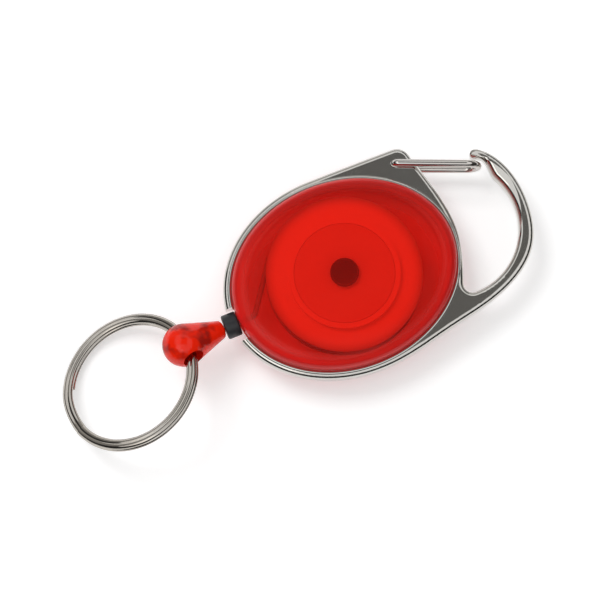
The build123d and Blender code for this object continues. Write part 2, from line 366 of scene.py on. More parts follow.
@dataclass(frozen=True)
class CastPlate(PlatedMetal):
    """The frame's plating, with the low bead that the casting has round the oval case."""

    half_length: float = 19.4 * MM
    half_width: float = 15.75 * MM
    bead_out: float = 0.34 * MM
    bead_half: float = 0.32 * MM
    bead_height: float = 0.13 * MM
    hook_x: float = 19.5 * MM
    hook_y: float = 0.7 * MM
    hook_r: float = 11.55 * MM
    facet_from_x: float = 24.5 * MM
    facet_over_x: float = 1.5 * MM
    facet_from_y: float = -6.0 * MM
    facet_spread: float = 0.17
    facet_most: float = 1.9 * MM
    facet_slope: float = 0.34

    def facet(self, x: Signal, y: Signal) -> Signal:
        """The slope on the hook's inner edge.

        Args:
            x: the point's X on the frame.
            y: the point's Y on the frame.

        Returns:
            How far the surface is sloped down, in bead heights.
        """
        out_x, out_y = x - self.hook_x, y - self.hook_y
        out = (out_x * out_x + out_y * out_y) ** 0.5
        wide = (y - self.facet_from_y) * self.facet_spread
        into = wide.at_least(0.0).at_most(self.facet_most) + self.hook_r - out
        depth = into.at_least(0.0) * (self.facet_slope / self.bead_height)
        return depth * x.above(self.facet_from_x, self.facet_over_x)

    def relief(self, sheet: ShaderSheet, grain: Signal) -> bpy.types.NodeSocket:
        """The casting's surface: fine grain, and a bead that runs along the case's edge.

        Args:
            sheet: the material's sheet.
            grain: the fine grain.

        Returns:
            The normal.
        """
        x, y = sheet.level_place()
        u, v = x * (1 / self.half_length), y * (1 / self.half_width)
        inside_out = u * u + v * v - 1
        slope_x, slope_y = u * (2 / self.half_length), v * (2 / self.half_width)
        distance = inside_out / (slope_x * slope_x + slope_y * slope_y) ** 0.5
        across = (distance - self.bead_out) * (1 / self.bead_half)
        bead = (1 - across * across).at_least(0.0)
        fine = grain * (self.ripple / self.bead_height)
        return sheet.bump(bead + fine - self.facet(x, y), self.bead_height)


@dataclass(frozen=True)
class CoilPlate(PlatedMetal):
    """The ring's plating, with the drawn wire's grooves that run round the ring."""

    centre: Triple = (0.0, 0.0, 0.0)
    normal: Triple = (0.0, 0.0, 1.0)
    inner: float = 10.45 * MM
    pitch: float = 0.925 * MM
    groove: float = 0.15 * MM

    def relief(self, sheet: ShaderSheet, grain: Signal) -> bpy.types.NodeSocket:
        """The wire's surface: fine grain, and rounded lands with a groove between.

        Args:
            sheet: the material's sheet.
            grain: the fine grain.

        Returns:
            The normal.
        """
        split = sheet.node("ShaderNodeSeparateXYZ", {}, {"Vector": sheet.place()})
        away = [Signal(sheet, split.outputs[i]) - self.centre[i] for i in range(3)]
        along = away[0] * self.normal[0] + away[1] * self.normal[1] + away[2] * self.normal[2]
        length = away[0] * away[0] + away[1] * away[1] + away[2] * away[2]
        radius = (length - along * along) ** 0.5
        phase = (radius - self.inner) * (math.pi / self.pitch)
        wave = phase.maths("SINE", phase)
        land = wave.maths("ABSOLUTE", wave)
        return sheet.bump(land + grain * (self.ripple / self.groove), self.groove)


@dataclass(frozen=True)
class ClearPlastic:
    """Tinted see-through moulding: part of the light goes straight in, part comes back."""

    name: str
    body: Colour = (0.94, 0.042, 0.026)
    deep: Colour = (0.80, 0.022, 0.018)
    rim: Colour = (0.74, 0.014, 0.014)
    tint: Colour = (1.0, 0.23, 0.17)
    clear: float = 0.85
    edge_clear: float = 0.20
    roughness: float = 0.12
    half_length: float = 19.4 * MM
    half_width: float = 15.75 * MM
    thick_from: float = 0.92
    thick_over: float = 0.15
    cloud: float = 0.12
    haze: float = 0.08
    flow_per_metre: float = 70.0
    flow_stretch: Triple = (1.0, 1.6, 1.0)
    pimples_per_metre: float = 2600.0
    pimple_depth: float = 0.000004

    def edge(self, sheet: ShaderSheet) -> Signal:
        """Where the light has a long way to go through the moulding.

        Args:
            sheet: the material's sheet.

        Returns:
            1 at the thick rim and where it is seen edge on, 0 in its middle.
        """
        x, y = sheet.level_place()
        u, v = x * (1 / self.half_length), y * (1 / self.half_width)
        rim = ((u * u + v * v) ** 0.5).above(self.thick_from, self.thick_over)
        return rim.at_least(sheet.facing() ** 2.0)

    def material(self) -> bpy.types.Material:
        """Builds the tinted moulding with faint flow marks and a fine mould texture.

        Returns:
            The material.
        """
        sheet = ShaderSheet(self.name)
        flow = sheet.noise(self.flow_per_metre, 2, 0.5, self.flow_stretch)
        mould = sheet.noise(self.pimples_per_metre, 2, 0.5)
        edge = self.edge(sheet)
        across = sheet.blend_colours(flow, self.body, self.deep)
        shader = sheet.principled(
            {
                "Base Color": sheet.blend_colours(edge, across, self.rim),
                "Roughness": self.roughness + mould * self.haze,
                "IOR": 1.5,
                "Specular IOR Level": 0.32,
                "Normal": sheet.bump(mould, self.pimple_depth),
            }
        )
        through = sheet.node("ShaderNodeBsdfTransparent", {}, {"Color": rgba(self.tint)})
        share = self.clear - edge * (self.clear - self.edge_clear) + (flow - 0.5) * self.cloud
        mixed = sheet.node(
            "ShaderNodeMixShader", {}, {0: share, 1: shader.outputs[0], 2: through.outputs[0]}
        )
        return sheet.finish(mixed.outputs[0])


@dataclass(frozen=True)
class DropPlastic:
    """Clear red moulding that bends the light, as a thick drop does."""

    name: str
    colour: Colour = (1.0, 0.022, 0.004)
    # painted shade: the dark red of the patches that stand in for refraction inside the drop
    deep: Colour = (0.42, 0.012, 0.006)
    roughness: float = 0.04
    refraction_shades_per_metre: float = 340.0
    refraction_shade_haze: float = 0.05
    sinks_per_metre: float = 420.0
    sink_depth: float = 0.00022

    def material(self) -> bpy.types.Material:
        """Builds the drop's plastic with painted shade in dark patches, which stand in for the dark
        refraction pattern inside a clear drop, and slow sink marks in its surface.

        Returns:
            The material.
        """
        sheet = ShaderSheet(self.name)
        sink = sheet.noise(self.sinks_per_metre, 2, 0.5)
        # painted shade: noise patches where the drop's colour darkens, standing in for its
        # refraction pattern
        refraction_shade_mask = sheet.noise(self.refraction_shades_per_metre, 2, 0.5).above(0.57, 0.16)
        shader = sheet.principled(
            {
                "Base Color": sheet.blend_colours(refraction_shade_mask, self.colour, self.deep),
                "Roughness": self.roughness + refraction_shade_mask * self.refraction_shade_haze,
                "IOR": 1.49,
                "Transmission Weight": 0.22,
                "Specular IOR Level": 0.22,
                "Normal": sheet.bump(sink, self.sink_depth),
            }
        )
        return sheet.finish(shader.outputs[0])


@dataclass(frozen=True)
class Moulding:
    """Opaque moulded plastic or rubber."""

    name: str
    colour: Colour
    other: Colour
    roughness: float = 0.45
    haze: float = 0.15
    drift_per_metre: float = 150.0
    pimples_per_metre: float = 3000.0
    pimple_depth: float = 0.000006

    def shade(self, sheet: ShaderSheet) -> bpy.types.NodeSocket:
        """The colour, with its faint drift."""
        drift = sheet.noise(self.drift_per_metre, 3, 0.6)
        return sheet.blend_colours(drift, self.colour, self.other)

    def material(self) -> bpy.types.Material:
        """Builds the moulding with a fine texture and faint colour drift.

        Returns:
            The material.
        """
        sheet = ShaderSheet(self.name)
        texture = sheet.noise(self.pimples_per_metre, 3, 0.6)
        shader = sheet.principled(
            {
                "Base Color": self.shade(sheet),
                "Roughness": self.roughness + texture * self.haze,
                "Normal": sheet.bump(texture, self.pimple_depth),
            }
        )
        return sheet.finish(shader.outputs[0])


@dataclass(frozen=True)
class FlangedMoulding(Moulding):
    """The spool's plastic, with painted shade that darkens it towards its rim, where the cloudy
    cover blurs its edge.
    """

    # painted shade: the colour the flange fades to at its rim, blending its edge into the darker
    # zone round it
    rim_shade: Colour = (0.38, 0.28, 0.26)
    rim_shade_from: float = 12.3 * MM
    rim_shade_over: float = 2.4 * MM

    def shade(self, sheet: ShaderSheet) -> bpy.types.NodeSocket:
        """The moulding's colour, with painted shade that darkens it towards the rim.

        Args:
            sheet: the material's sheet.

        Returns:
            The colour.
        """
        x, y = sheet.level_place()
        # painted shade: darker over the last few millimetres out to the flange's rim
        out = ((x * x + y * y) ** 0.5).above(self.rim_shade_from, self.rim_shade_over)
        return sheet.blend_colours(out * out, super().shade(sheet), self.rim_shade)


@dataclass(frozen=True)
class Braid:
    """Braided cord: two sets of strands that cross along the cord."""

    name: str
    colour: Colour = (0.58, 0.56, 0.55)
    # painted shade: the darker colour in the grooves between the strands
    groove: Colour = (0.32, 0.30, 0.30)
    strands_per_metre: float = 1500.0
    strand_depth: float = 0.00006

    def strands(self, sheet: ShaderSheet, side: int) -> Signal:
        """One set of strands.

        Args:
            sheet: the material's sheet.
            side: which way they lean, 1 or -1.

        Returns:
            1 on top of a strand and 0 between two.
        """
        made = sheet.node(
            "ShaderNodeTexWave",
            {"wave_type": "BANDS", "bands_direction": "DIAGONAL"},
            {
                "Vector": sheet.place((1, side, side)),
                "Scale": self.strands_per_metre,
                "Distortion": 0.6,
            },
        )
        return Signal(sheet, made.outputs[1])

    def material(self) -> bpy.types.Material:
        """Builds the braid from two sets of strands, with painted shade in the grooves between
        them.

        Returns:
            The material.
        """
        sheet = ShaderSheet(self.name)
        weave = self.strands(sheet, 1).at_least(self.strands(sheet, -1))
        shader = sheet.principled(
            {
                # painted shade: the colour darkens between the strands
                "Base Color": sheet.blend_colours(weave, self.groove, self.colour),
                "Roughness": 0.85,
                "Normal": sheet.bump(weave, self.strand_depth),
            }
        )
        return sheet.finish(shader.outputs[0])


# ------------------------------------------------------------------ modelling by hand
class Bench:
    """Modelling steps that every piece shares."""

    @staticmethod
    def clear() -> None:
        """Leaves edit mode with nothing selected."""
        if bpy.context.object and bpy.context.object.mode != "OBJECT":
            bpy.ops.object.mode_set(mode="OBJECT")
        bpy.ops.object.select_all(action="DESELECT")

    @classmethod
    def take(cls, piece: bpy.types.Object) -> None:
        """Selects one piece and nothing else.

        Args:
            piece: the piece.
        """
        cls.clear()
        piece.select_set(True)
        bpy.context.view_layer.objects.active = piece

    @staticmethod
    @contextmanager
    def editing() -> Iterator[None]:
        """Opens edit mode on the object in hand, with all of it selected at first.

        Returns:
            The context, whose end leaves edit mode.
        """
        bpy.ops.object.mode_set(mode="EDIT")
        bpy.ops.mesh.select_all(action="SELECT")
        yield
        bpy.ops.object.mode_set(mode="OBJECT")

    @staticmethod
    def weld(apart: float = 1e-7) -> None:
        """Joins points that coincide and turns every face outwards, in edit mode.

        Args:
            apart: how near they have to be.
        """
        bpy.ops.mesh.select_all(action="SELECT")
        bpy.ops.mesh.remove_doubles(threshold=apart)
        bpy.ops.mesh.normals_make_consistent(inside=False)

    @staticmethod
    def extrude(step: Sequence[float]) -> None:
        """Draws what is selected on by a step, in edit mode."""
        bpy.ops.mesh.extrude_region_move(TRANSFORM_OT_translate={"value": step})

    @staticmethod
    def named(name: str) -> bpy.types.Object:
        """Names the object in hand and its mesh.

        Args:
            name: the name.

        Returns:
            The object.
        """
        made = bpy.context.object
        made.name = name
        made.data.name = name
        return made

    @classmethod
    def rings(
        cls, name: str, outline: Outline, around: int = 96, closed: bool = False
    ) -> bpy.types.Object:
        """Turns an outline round Z, ring by ring, from a circle that is extruded and resized.

        Args:
            name: the piece's name.
            outline: (radius, height) of each ring, in order.
            around: points round the circle.
            closed: whether the last ring meets the first one.

        Returns:
            The piece, standing on the Z axis.
        """
        cls.clear()
        radius, height = outline[0]
        bpy.ops.mesh.primitive_circle_add(
            vertices=around, radius=radius, fill_type="NOTHING", location=(0, 0, height)
        )
        made = cls.named(name)
        bpy.ops.object.transform_apply(location=True, rotation=True, scale=True)
        with cls.editing():
            if not closed:
                bpy.ops.mesh.edge_face_add()
                bpy.ops.mesh.select_all(action="SELECT")
            for next_radius, next_height in outline[1:]:
                cls.extrude((0, 0, next_height - height))
                share = next_radius / radius
                bpy.ops.transform.resize(
                    value=(share, share, 1), center_override=(0, 0, next_height)
                )
                radius, height = next_radius, next_height
            cls.weld()
        return made

    @classmethod
    def tube(
        cls,
        name: str,
        places: list[Triple],
        radius: float,
        steps: tuple[int, int],
        settings: dict[str, object],
    ) -> bpy.types.Object:
        """Draws a round tube along a smooth curve.

        Args:
            name: the piece's name.
            places: the curve's control points.
            radius: the tube's radius.
            steps: the curve's steps from point to point, and those round a quarter of the tube.
            settings: the curve's properties, such as whether it closes.

        Returns:
            The tube.
        """
        curve = bpy.data.curves.new(name, "CURVE")
        curve.dimensions = "3D"
        curve.bevel_depth = radius
        curve.resolution_u, curve.bevel_resolution = steps
        spline = curve.splines.new("NURBS")
        spline.points.add(len(places) - 1)
        for point, place in zip(spline.points, places):
            point.co = (*place, 1.0)
        for key, value in settings.items():
            setattr(spline, key, value)
        made = bpy.data.objects.new(name, curve)
        bpy.context.scene.collection.objects.link(made)
        cls.take(made)
        bpy.ops.object.convert(target="MESH")
        return made

    @classmethod
    def put(cls, piece: bpy.types.Object, matrix: Matrix) -> None:
        """Moves a piece by a matrix and keeps the place in its mesh.

        Args:
            piece: the piece.
            matrix: the matrix.
        """
        cls.take(piece)
        piece.matrix_world = matrix
        bpy.ops.object.transform_apply(location=True, rotation=True, scale=True)

    @classmethod
    def cut(cls, piece: bpy.types.Object, tool: bpy.types.Object) -> None:
        """Takes a tool's shape out of a piece, and the tool away."""
        cls.apply(piece, "BOOLEAN", {"operation": "DIFFERENCE", "object": tool, "solver": "EXACT"})
        bpy.data.objects.remove(tool)

    @classmethod
    def apply(cls, piece: bpy.types.Object, kind: str, settings: dict[str, object]) -> None:
        """Adds a modifier and applies it.

        Args:
            piece: the piece.
            kind: the modifier's type.
            settings: its properties.
        """
        cls.take(piece)
        modifier = piece.modifiers.new(kind.title(), kind)
        for key, value in settings.items():
            setattr(modifier, key, value)
        bpy.ops.object.modifier_apply(modifier=modifier.name)

    @classmethod
    def soften(cls, piece: bpy.types.Object, degrees: float = 35.0) -> None:
        """Shades smoothly, apart from edges sharper than an angle."""
        cls.take(piece)
        bpy.ops.object.shade_smooth_by_angle(angle=math.radians(degrees))

    @classmethod
    def rod(
        cls, radius: float, length: float, place: Matrix, around: int = 48
    ) -> bpy.types.Object:
        """Makes a plain rod, used as a cutting tool.

        Args:
            radius: the rod's radius.
            length: its length.
            place: a matrix whose Z runs along it, from its middle.
            around: points round it.

        Returns:
            The rod.
        """
        cls.clear()
        bpy.ops.mesh.primitive_cylinder_add(vertices=around, radius=radius, depth=length)
        made = cls.named("cutting_tool")
        cls.put(made, place)
        return made

    @staticmethod
    def dress(piece: bpy.types.Object, material: bpy.types.Material) -> None:
        """Gives a piece one material all over."""
        piece.data.materials.clear()
        piece.data.materials.append(material)


def aim(origin: Vector, z_axis: Vector, x_axis: Vector) -> Matrix:
    """A matrix whose Z looks along z_axis and whose X is near x_axis.

    Args:
        origin: where the matrix puts the origin.
        z_axis: the direction of Z.
        x_axis: a direction that X stays close to.

    Returns:
        The matrix.
    """
    z = z_axis.normalized()
    x = (x_axis - z * x_axis.dot(z)).normalized()
    y = z.cross(x)
    turn = Matrix((x, y, z)).transposed().to_4x4()
    return Matrix.Translation(origin) @ turn


def rounded_edge(radius: float, rounding: float, steps: int) -> Outline:
    """The outline of a rod's rounded edge, from its end face to its side.

    Args:
        radius: the rod's radius.
        rounding: the edge's radius.
        steps: how many chords it is drawn with.

    Returns:
        The (radius, height) of each ring.
    """
    angles = [step / steps * TURN / 4 for step in range(steps + 1)]
    return [
        (radius - rounding * (1 - math.sin(angle)), rounding * (1 - math.cos(angle)))
        for angle in angles
    ]


class Joints:
    """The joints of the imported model, by name."""

    def __init__(self, joints: Iterable[dict]) -> None:
        """Keeps the joints."""
        self.by_name = {joint["name"]: joint for joint in joints}

    def point(self, name: str) -> Vector:
        """A hinge's place."""
        return Vector(self.by_name[name]["pos_m"])

    def axis(self, name: str) -> Vector:
        """A joint's axis."""
        return Vector(self.by_name[name]["axis"]).normalized()


# ------------------------------------------------------------------ sub-assemblies
@dataclass
class CaseCovers:
    """The two tinted covers: domed faces, rounded edges, and skirts inside the frame."""

    wall: float = 1.1 * MM
    crown_power: float = 3.6
    rings_up: int = 18
    skirt_share: float = 0.938
    skirt_wall_share: float = 0.065
    rim_margin: float = 0.01 * MM
    around: int = 160

    def dome(self, rim: float, rise: float, radius_share: float) -> Outline:
        """The outline of a domed face, from its middle out to its rim.

        Args:
            rim: the height of its rim.
            rise: how far its middle is above the rim.
            radius_share: its radius, as a share of the cover's.

        Returns:
            The (radius, height) of each ring.
        """
        flat = 2 / self.crown_power
        angles = [step / self.rings_up * TURN / 4 for step in range(self.rings_up + 1)]
        return [
            (
                radius_share * max(math.sin(angle) ** flat, 1e-5),
                rim + rise * math.cos(angle) ** flat,
            )
            for angle in angles
        ]

    def shell(self, name: str, node: str, way: Way) -> bpy.types.Object:
        """Builds one cover.

        Args:
            name: the piece's name.
            node: the CAD node that it stands for.
            way: which side its face looks to.

        Returns:
            The cover.
        """
        low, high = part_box(node)
        plate_low, plate_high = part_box("carabiner_frame")
        if way is Way.UP:
            face, rim, middle = high.z, plate_high.z, low.z
        else:
            face, rim, middle = low.z, plate_low.z, high.z
        rise = face - rim
        inner_rise = rise * (1 - self.wall / abs(rise))
        skirt_in = self.skirt_share - self.skirt_wall_share
        outline = self.dome(rim, rise, 1.0)
        outline += [(self.skirt_share, rim), (self.skirt_share, middle), (skirt_in, middle)]
        outline += list(reversed(self.dome(rim, inner_rise, skirt_in)))
        cover = Bench.rings(name, outline, self.around, closed=True)
        Bench.put(cover, Matrix.Diagonal((high.x, high.y, 1, 1)))
        with Bench.editing():
            Bench.weld(2e-7)
        Bench.soften(cover, 40)
        return cover

    def build(
        self,
        outside: bpy.types.Material,
        behind: bpy.types.Material,
        inside: bpy.types.Material,
    ) -> None:
        """Builds and dresses both covers.

        Args:
            outside: the finish of the front cover's outer face.
            behind: the denser finish of the back cover's outer face.
            inside: the clearer finish of the inner walls.
        """
        low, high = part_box("carabiner_frame")
        middle = (low.z + high.z) / 2
        half = (high.z - low.z) / 2
        for name, node, way, finish in (
            ("front_cover_dome", "front_cover", Way.UP, outside),
            ("back_cover_dome", "back_cover", Way.DOWN, behind),
        ):
            cover = self.shell(name, node, way)
            Bench.dress(cover, finish)
            cover.data.materials.append(inside)
            for face in cover.data.polygons:
                outward = face.normal.dot(face.center - Vector((0, 0, middle)))
                on_dome = abs(face.center.z - middle) > half + self.rim_margin and outward > 0
                face.material_index = 0 if on_dome else 1
            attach(cover, "case")
            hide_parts(node)


@dataclass
class GateWire:
    """The wire gate, bent from one round wire."""

    wire: float = 1.25 * MM
    bend: float = 0.9 * MM
    land: float = 0.12 * MM
    around: int = 28
    bend_steps: int = 14

    def build(self, joints: Joints, finish: bpy.types.Material) -> bpy.types.Object:
        """Bends the wire: hole, leg, loop, leg, hole.

        Args:
            joints: the joints of the model, for the pivot.
            finish: the wire's material.

        Returns:
            The gate.
        """
        low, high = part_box("gate_wire")
        pivot = joints.point("gate_swing")
        radius = self.wire / 2
        far = Vector((high.x - radius, low.y + radius, pivot.z))
        along = far - pivot
        reach = along.length
        leg_height = high.z - radius - pivot.z
        straight = reach - self.bend - leg_height

        Bench.clear()
        bpy.ops.mesh.primitive_circle_add(
            vertices=self.around, radius=radius, fill_type="NGON", location=(0, 0, self.land)
        )
        gate = Bench.named("gate_wire_loop")
        bpy.ops.object.transform_apply(location=True, rotation=True, scale=True)
        leg = (0, 0, leg_height - self.bend - self.land)
        with Bench.editing():
            Bench.extrude(leg)
            self.turn((self.bend, 0, leg_height - self.bend), TURN / 4)
            Bench.extrude((straight, 0, 0))
            self.turn((self.bend + straight, 0, 0), TURN / 2)
            Bench.extrude((-straight, 0, 0))
            self.turn((self.bend, 0, self.bend - leg_height), TURN / 4)
            Bench.extrude(leg)
            Bench.weld()
        Bench.put(gate, aim(pivot, Vector((0, 0, 1)), along))
        Bench.soften(gate, 50)
        Bench.dress(gate, finish)
        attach(gate, "gate")
        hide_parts("gate_wire")
        return gate

    def turn(self, centre: Sequence[float], angle: float) -> None:
        """Bends the wire's end round a centre, about Y."""
        steps = max(4, round(self.bend_steps * angle / (TURN / 4)))
        bpy.ops.mesh.spin(steps=steps, angle=angle, center=centre, axis=(0, -1, 0))


@dataclass
class SplitRing:
    """A split ring: flat wire wound twice, with a step where one turn passes to the other."""

    width: float = 1.85 * MM
    turn_height: float = 0.8 * MM
    around: int = 32
    step_span: float = math.radians(34)
    end_gap: float = math.radians(5)
    step_at: float = math.radians(150)
    steps_per_turn: int = 120
    step_rings: int = 14

    def build(
        self, joints: Joints, normal: Vector, finish: bpy.types.Material
    ) -> bpy.types.Object:
        """Winds the ring and puts it in its hole.

        Args:
            joints: the joints of the model, for the hole.
            normal: the direction of the ring's axis.
            finish: the ring's material.

        Returns:
            The ring.
        """
        hole = joints.point("ring_swing")
        low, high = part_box("split_ring")
        centre = (low + high) / 2
        radius = (hole - centre).length

        Bench.clear()
        here = (radius, 0, -self.turn_height / 2)
        bpy.ops.mesh.primitive_circle_add(
            vertices=self.around, radius=0.5, fill_type="NGON", location=here
        )
        ring = Bench.named("split_ring_coil")
        with Bench.editing():
            bpy.ops.transform.resize(
                value=(self.width, self.turn_height, 1), center_override=here
            )
            bpy.ops.transform.rotate(
                value=TURN / 4, orient_axis="X", orient_type="GLOBAL", center_override=here
            )
        bpy.ops.object.transform_apply(location=True, rotation=True, scale=True)
        level = TURN - self.step_span - self.end_gap
        level_steps = round(self.steps_per_turn * level / TURN)
        with Bench.editing():
            self.wind(level_steps, level)
            for step in range(self.step_rings):
                rise = self.ease((step + 1) / self.step_rings) - self.ease(step / self.step_rings)
                self.wind(1, self.step_span / self.step_rings)
                bpy.ops.transform.translate(value=(0, 0, rise * self.turn_height))
            self.wind(level_steps, level)
            Bench.weld()
        Bench.put(
            ring, aim(centre, normal, hole - centre) @ Matrix.Rotation(self.step_at, 4, "Z")
        )
        Bench.soften(ring, 50)
        Bench.dress(ring, finish)
        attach(ring, "ring")
        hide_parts("split_ring")
        return ring

    @staticmethod
    def wind(steps: int, angle: float) -> None:
        """Draws the wire's end round the ring's axis."""
        bpy.ops.mesh.spin(steps=steps, angle=angle, center=(0, 0, 0), axis=(0, 0, 1))

    @staticmethod
    def ease(share: float) -> float:
        """A smooth rise from 0 to 1."""
        return share * share * (3 - 2 * share)


@dataclass
class EndFitting:
    """The clear drop on the cord's end, with its cord bore, knot pocket and ring hole."""

    mouth: float = 1.6 * MM
    mouth_round: float = 0.2 * MM
    ball: float = 3.65 * MM
    ball_at: float = 7.4 * MM
    bore: float = 0.65 * MM
    bore_share: float = 1.4
    pocket: float = 1.2 * MM
    pocket_at: float = 2.65 * MM
    hole: float = 1.85 * MM
    hole_round: float = 0.35 * MM
    mouth_gap: float = 0.336 * MM
    around: int = 72
    mouth_steps: int = 5
    cone_steps: int = 8
    ball_steps: int = 24

    def outline(self) -> Outline:
        """The drop's outline: rounded mouth, cone, and ball.

        Returns:
            The (radius, height) of each ring, from the mouth.
        """
        reach = math.hypot(self.ball_at, self.mouth)
        start = math.pi - math.atan2(self.mouth, self.ball_at) - math.acos(self.ball / reach)
        mouth = rounded_edge(self.mouth, self.mouth_round, self.mouth_steps)
        angles = [start * (1 - step / self.ball_steps) for step in range(self.ball_steps + 1)]
        ball = [
            (max(self.ball * math.sin(angle), 1e-6), self.ball_at + self.ball * math.cos(angle))
            for angle in angles
        ]
        (near_r, near_h), (far_r, far_h) = mouth[-1], ball[0]
        shares = [step / self.cone_steps for step in range(1, self.cone_steps)]
        cone = [
            (near_r + (far_r - near_r) * share, near_h + (far_h - near_h) * share)
            for share in shares
        ]
        return mouth + cone + ball

    def build(self, joints: Joints, finish: bpy.types.Material) -> bpy.types.Object:
        """Turns the drop, cuts its holes and puts it on the cord.

        Args:
            joints: the joints of the model, for the swivel and the ring's hole.
            finish: the drop's material.

        Returns:
            The fitting.
        """
        axis = joints.axis("fitting_swivel")
        mouth = joints.point("fitting_swivel") + axis * self.mouth_gap
        hole = joints.point("ring_swing")
        place = aim(mouth, axis, Vector((0, 0, 1)))
        drop = Bench.rings("end_fitting_drop", self.outline(), self.around)
        Bench.put(drop, place)
        hole_place = aim(hole, joints.axis("ring_swing"), axis)
        Bench.cut(drop, Bench.rod(self.hole, 4 * self.ball, hole_place))
        pocket_length = (hole - mouth).length - self.pocket_at
        pocket_middle = mouth + axis * (self.pocket_at + pocket_length / 2)
        Bench.cut(drop, Bench.rod(self.pocket, pocket_length, aim(pocket_middle, axis, hole)))
        bore_length = self.pocket_at * self.bore_share
        bore_middle = mouth + axis * (bore_length / 2 - self.mouth_gap)
        Bench.cut(drop, Bench.rod(self.bore, bore_length, aim(bore_middle, axis, hole)))
        Bench.apply(
            drop,
            "BEVEL",
            {"width": self.hole_round, "segments": 3, "limit_method": "ANGLE",
             "angle_limit": math.radians(50)},
        )
        Bench.soften(drop, 40)
        Bench.dress(drop, finish)
        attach(drop, "fitting")
        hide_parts("end_fitting")
        return drop


@dataclass
class CordEnd:
    """The black stop, the cord through it and the knot in the fitting."""

    stop_round: float = 0.3 * MM
    bore: float = 0.65 * MM
    cord: float = 0.45 * MM
    bend_before: float = 1.2 * MM
    held_behind: float = 0.2 * MM
    knot_size: float = 0.62 * MM
    knot_flatness: float = 0.55
    knot_squeeze: float = 0.82
    knot_points: int = 24
    around: int = 64
    round_steps: int = 6
    cord_around: int = 20
    lengths: int = 40
    bend_steps: int = 8

    def stop(self, finish: bpy.types.Material) -> bpy.types.Object:
        """Builds the stop: a rounded tube.

        Args:
            finish: the stop's material.

        Returns:
            The stop.
        """
        low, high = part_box("bump_stop")
        radius = (high.z - low.z) / 2
        length = high.x - low.x
        centre = (low + high) / 2
        edge = rounded_edge(radius, self.stop_round, self.round_steps)
        outline = [(self.bore, 0.0)] + edge
        outline += [(r, length - h) for r, h in reversed(edge)] + [(self.bore, length)]
        outline.append(outline[0])
        made = Bench.rings("bump_stop_sleeve", outline, self.around, closed=True)
        start = Vector((low.x, centre.y, centre.z))
        Bench.put(made, aim(start, Vector((1, 0, 0)), Vector((0, 0, 1))))
        Bench.soften(made, 40)
        Bench.dress(made, finish)
        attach(made, "cord_end")
        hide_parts("bump_stop")
        return made

    def line(self, joints: Joints, finish: bpy.types.Material) -> bpy.types.Object:
        """Builds the cord from the case's exit to the knot.

        Args:
            joints: the joints of the model.
            finish: the cord's material.

        Returns:
            The cord.
        """
        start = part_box("cord_tail")[1].x
        swivel = joints.point("fitting_swivel")
        axis = joints.axis("fitting_swivel")
        ahead = Vector((-1, 0, 0))
        turn = ahead.angle(axis)
        side = ahead.cross(axis).normalized()
        straight = start - swivel.x - self.bend_before
        radius = self.bend_before / math.tan(turn / 2)
        centre = Vector((start - straight, swivel.y, swivel.z)) + side.cross(ahead) * radius
        rest = (self.knot_place() - swivel).length - self.bend_before
        Bench.clear()
        bpy.ops.mesh.primitive_circle_add(
            vertices=self.cord_around, radius=self.cord, fill_type="NGON"
        )
        made = Bench.named("cord_line")
        Bench.put(made, aim(Vector((start, swivel.y, swivel.z)), ahead, Vector((0, 0, 1))))
        with Bench.editing():
            for _ in range(self.lengths):
                Bench.extrude((-straight / self.lengths, 0, 0))
            bpy.ops.mesh.spin(steps=self.bend_steps, angle=turn, center=centre, axis=-side)
            Bench.extrude(axis * rest)
            Bench.weld()
        Bench.soften(made, 60)
        Bench.dress(made, finish)
        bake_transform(made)
        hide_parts("cord_tail")
        return made

    @staticmethod
    def knot_place() -> Vector:
        """The middle of the knot."""
        low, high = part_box("cord_knot")
        return (low + high) / 2

    def knot(self, finish: bpy.types.Material) -> bpy.types.Object:
        """Ties the knot: a closed three-lobed loop of the cord.

        Args:
            finish: the cord's material.

        Returns:
            The knot.
        """
        angles = [index / self.knot_points * TURN for index in range(self.knot_points)]
        places = [
            (
                self.knot_size * (math.sin(angle) + 2 * math.sin(2 * angle)) / 3,
                self.knot_size * (math.cos(angle) - 2 * math.cos(2 * angle)) / 3,
                -self.knot_size * self.knot_flatness * math.sin(3 * angle),
            )
            for angle in angles
        ]
        thick = self.cord * self.knot_squeeze
        made = Bench.tube("cord_knot_tied", places, thick, (6, 5), {"use_cyclic_u": True})
        Bench.put(made, Matrix.Translation(self.knot_place()))
        Bench.soften(made, 60)
        Bench.dress(made, finish)
        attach(made, "cord_end")
        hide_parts("cord_knot")
        return made


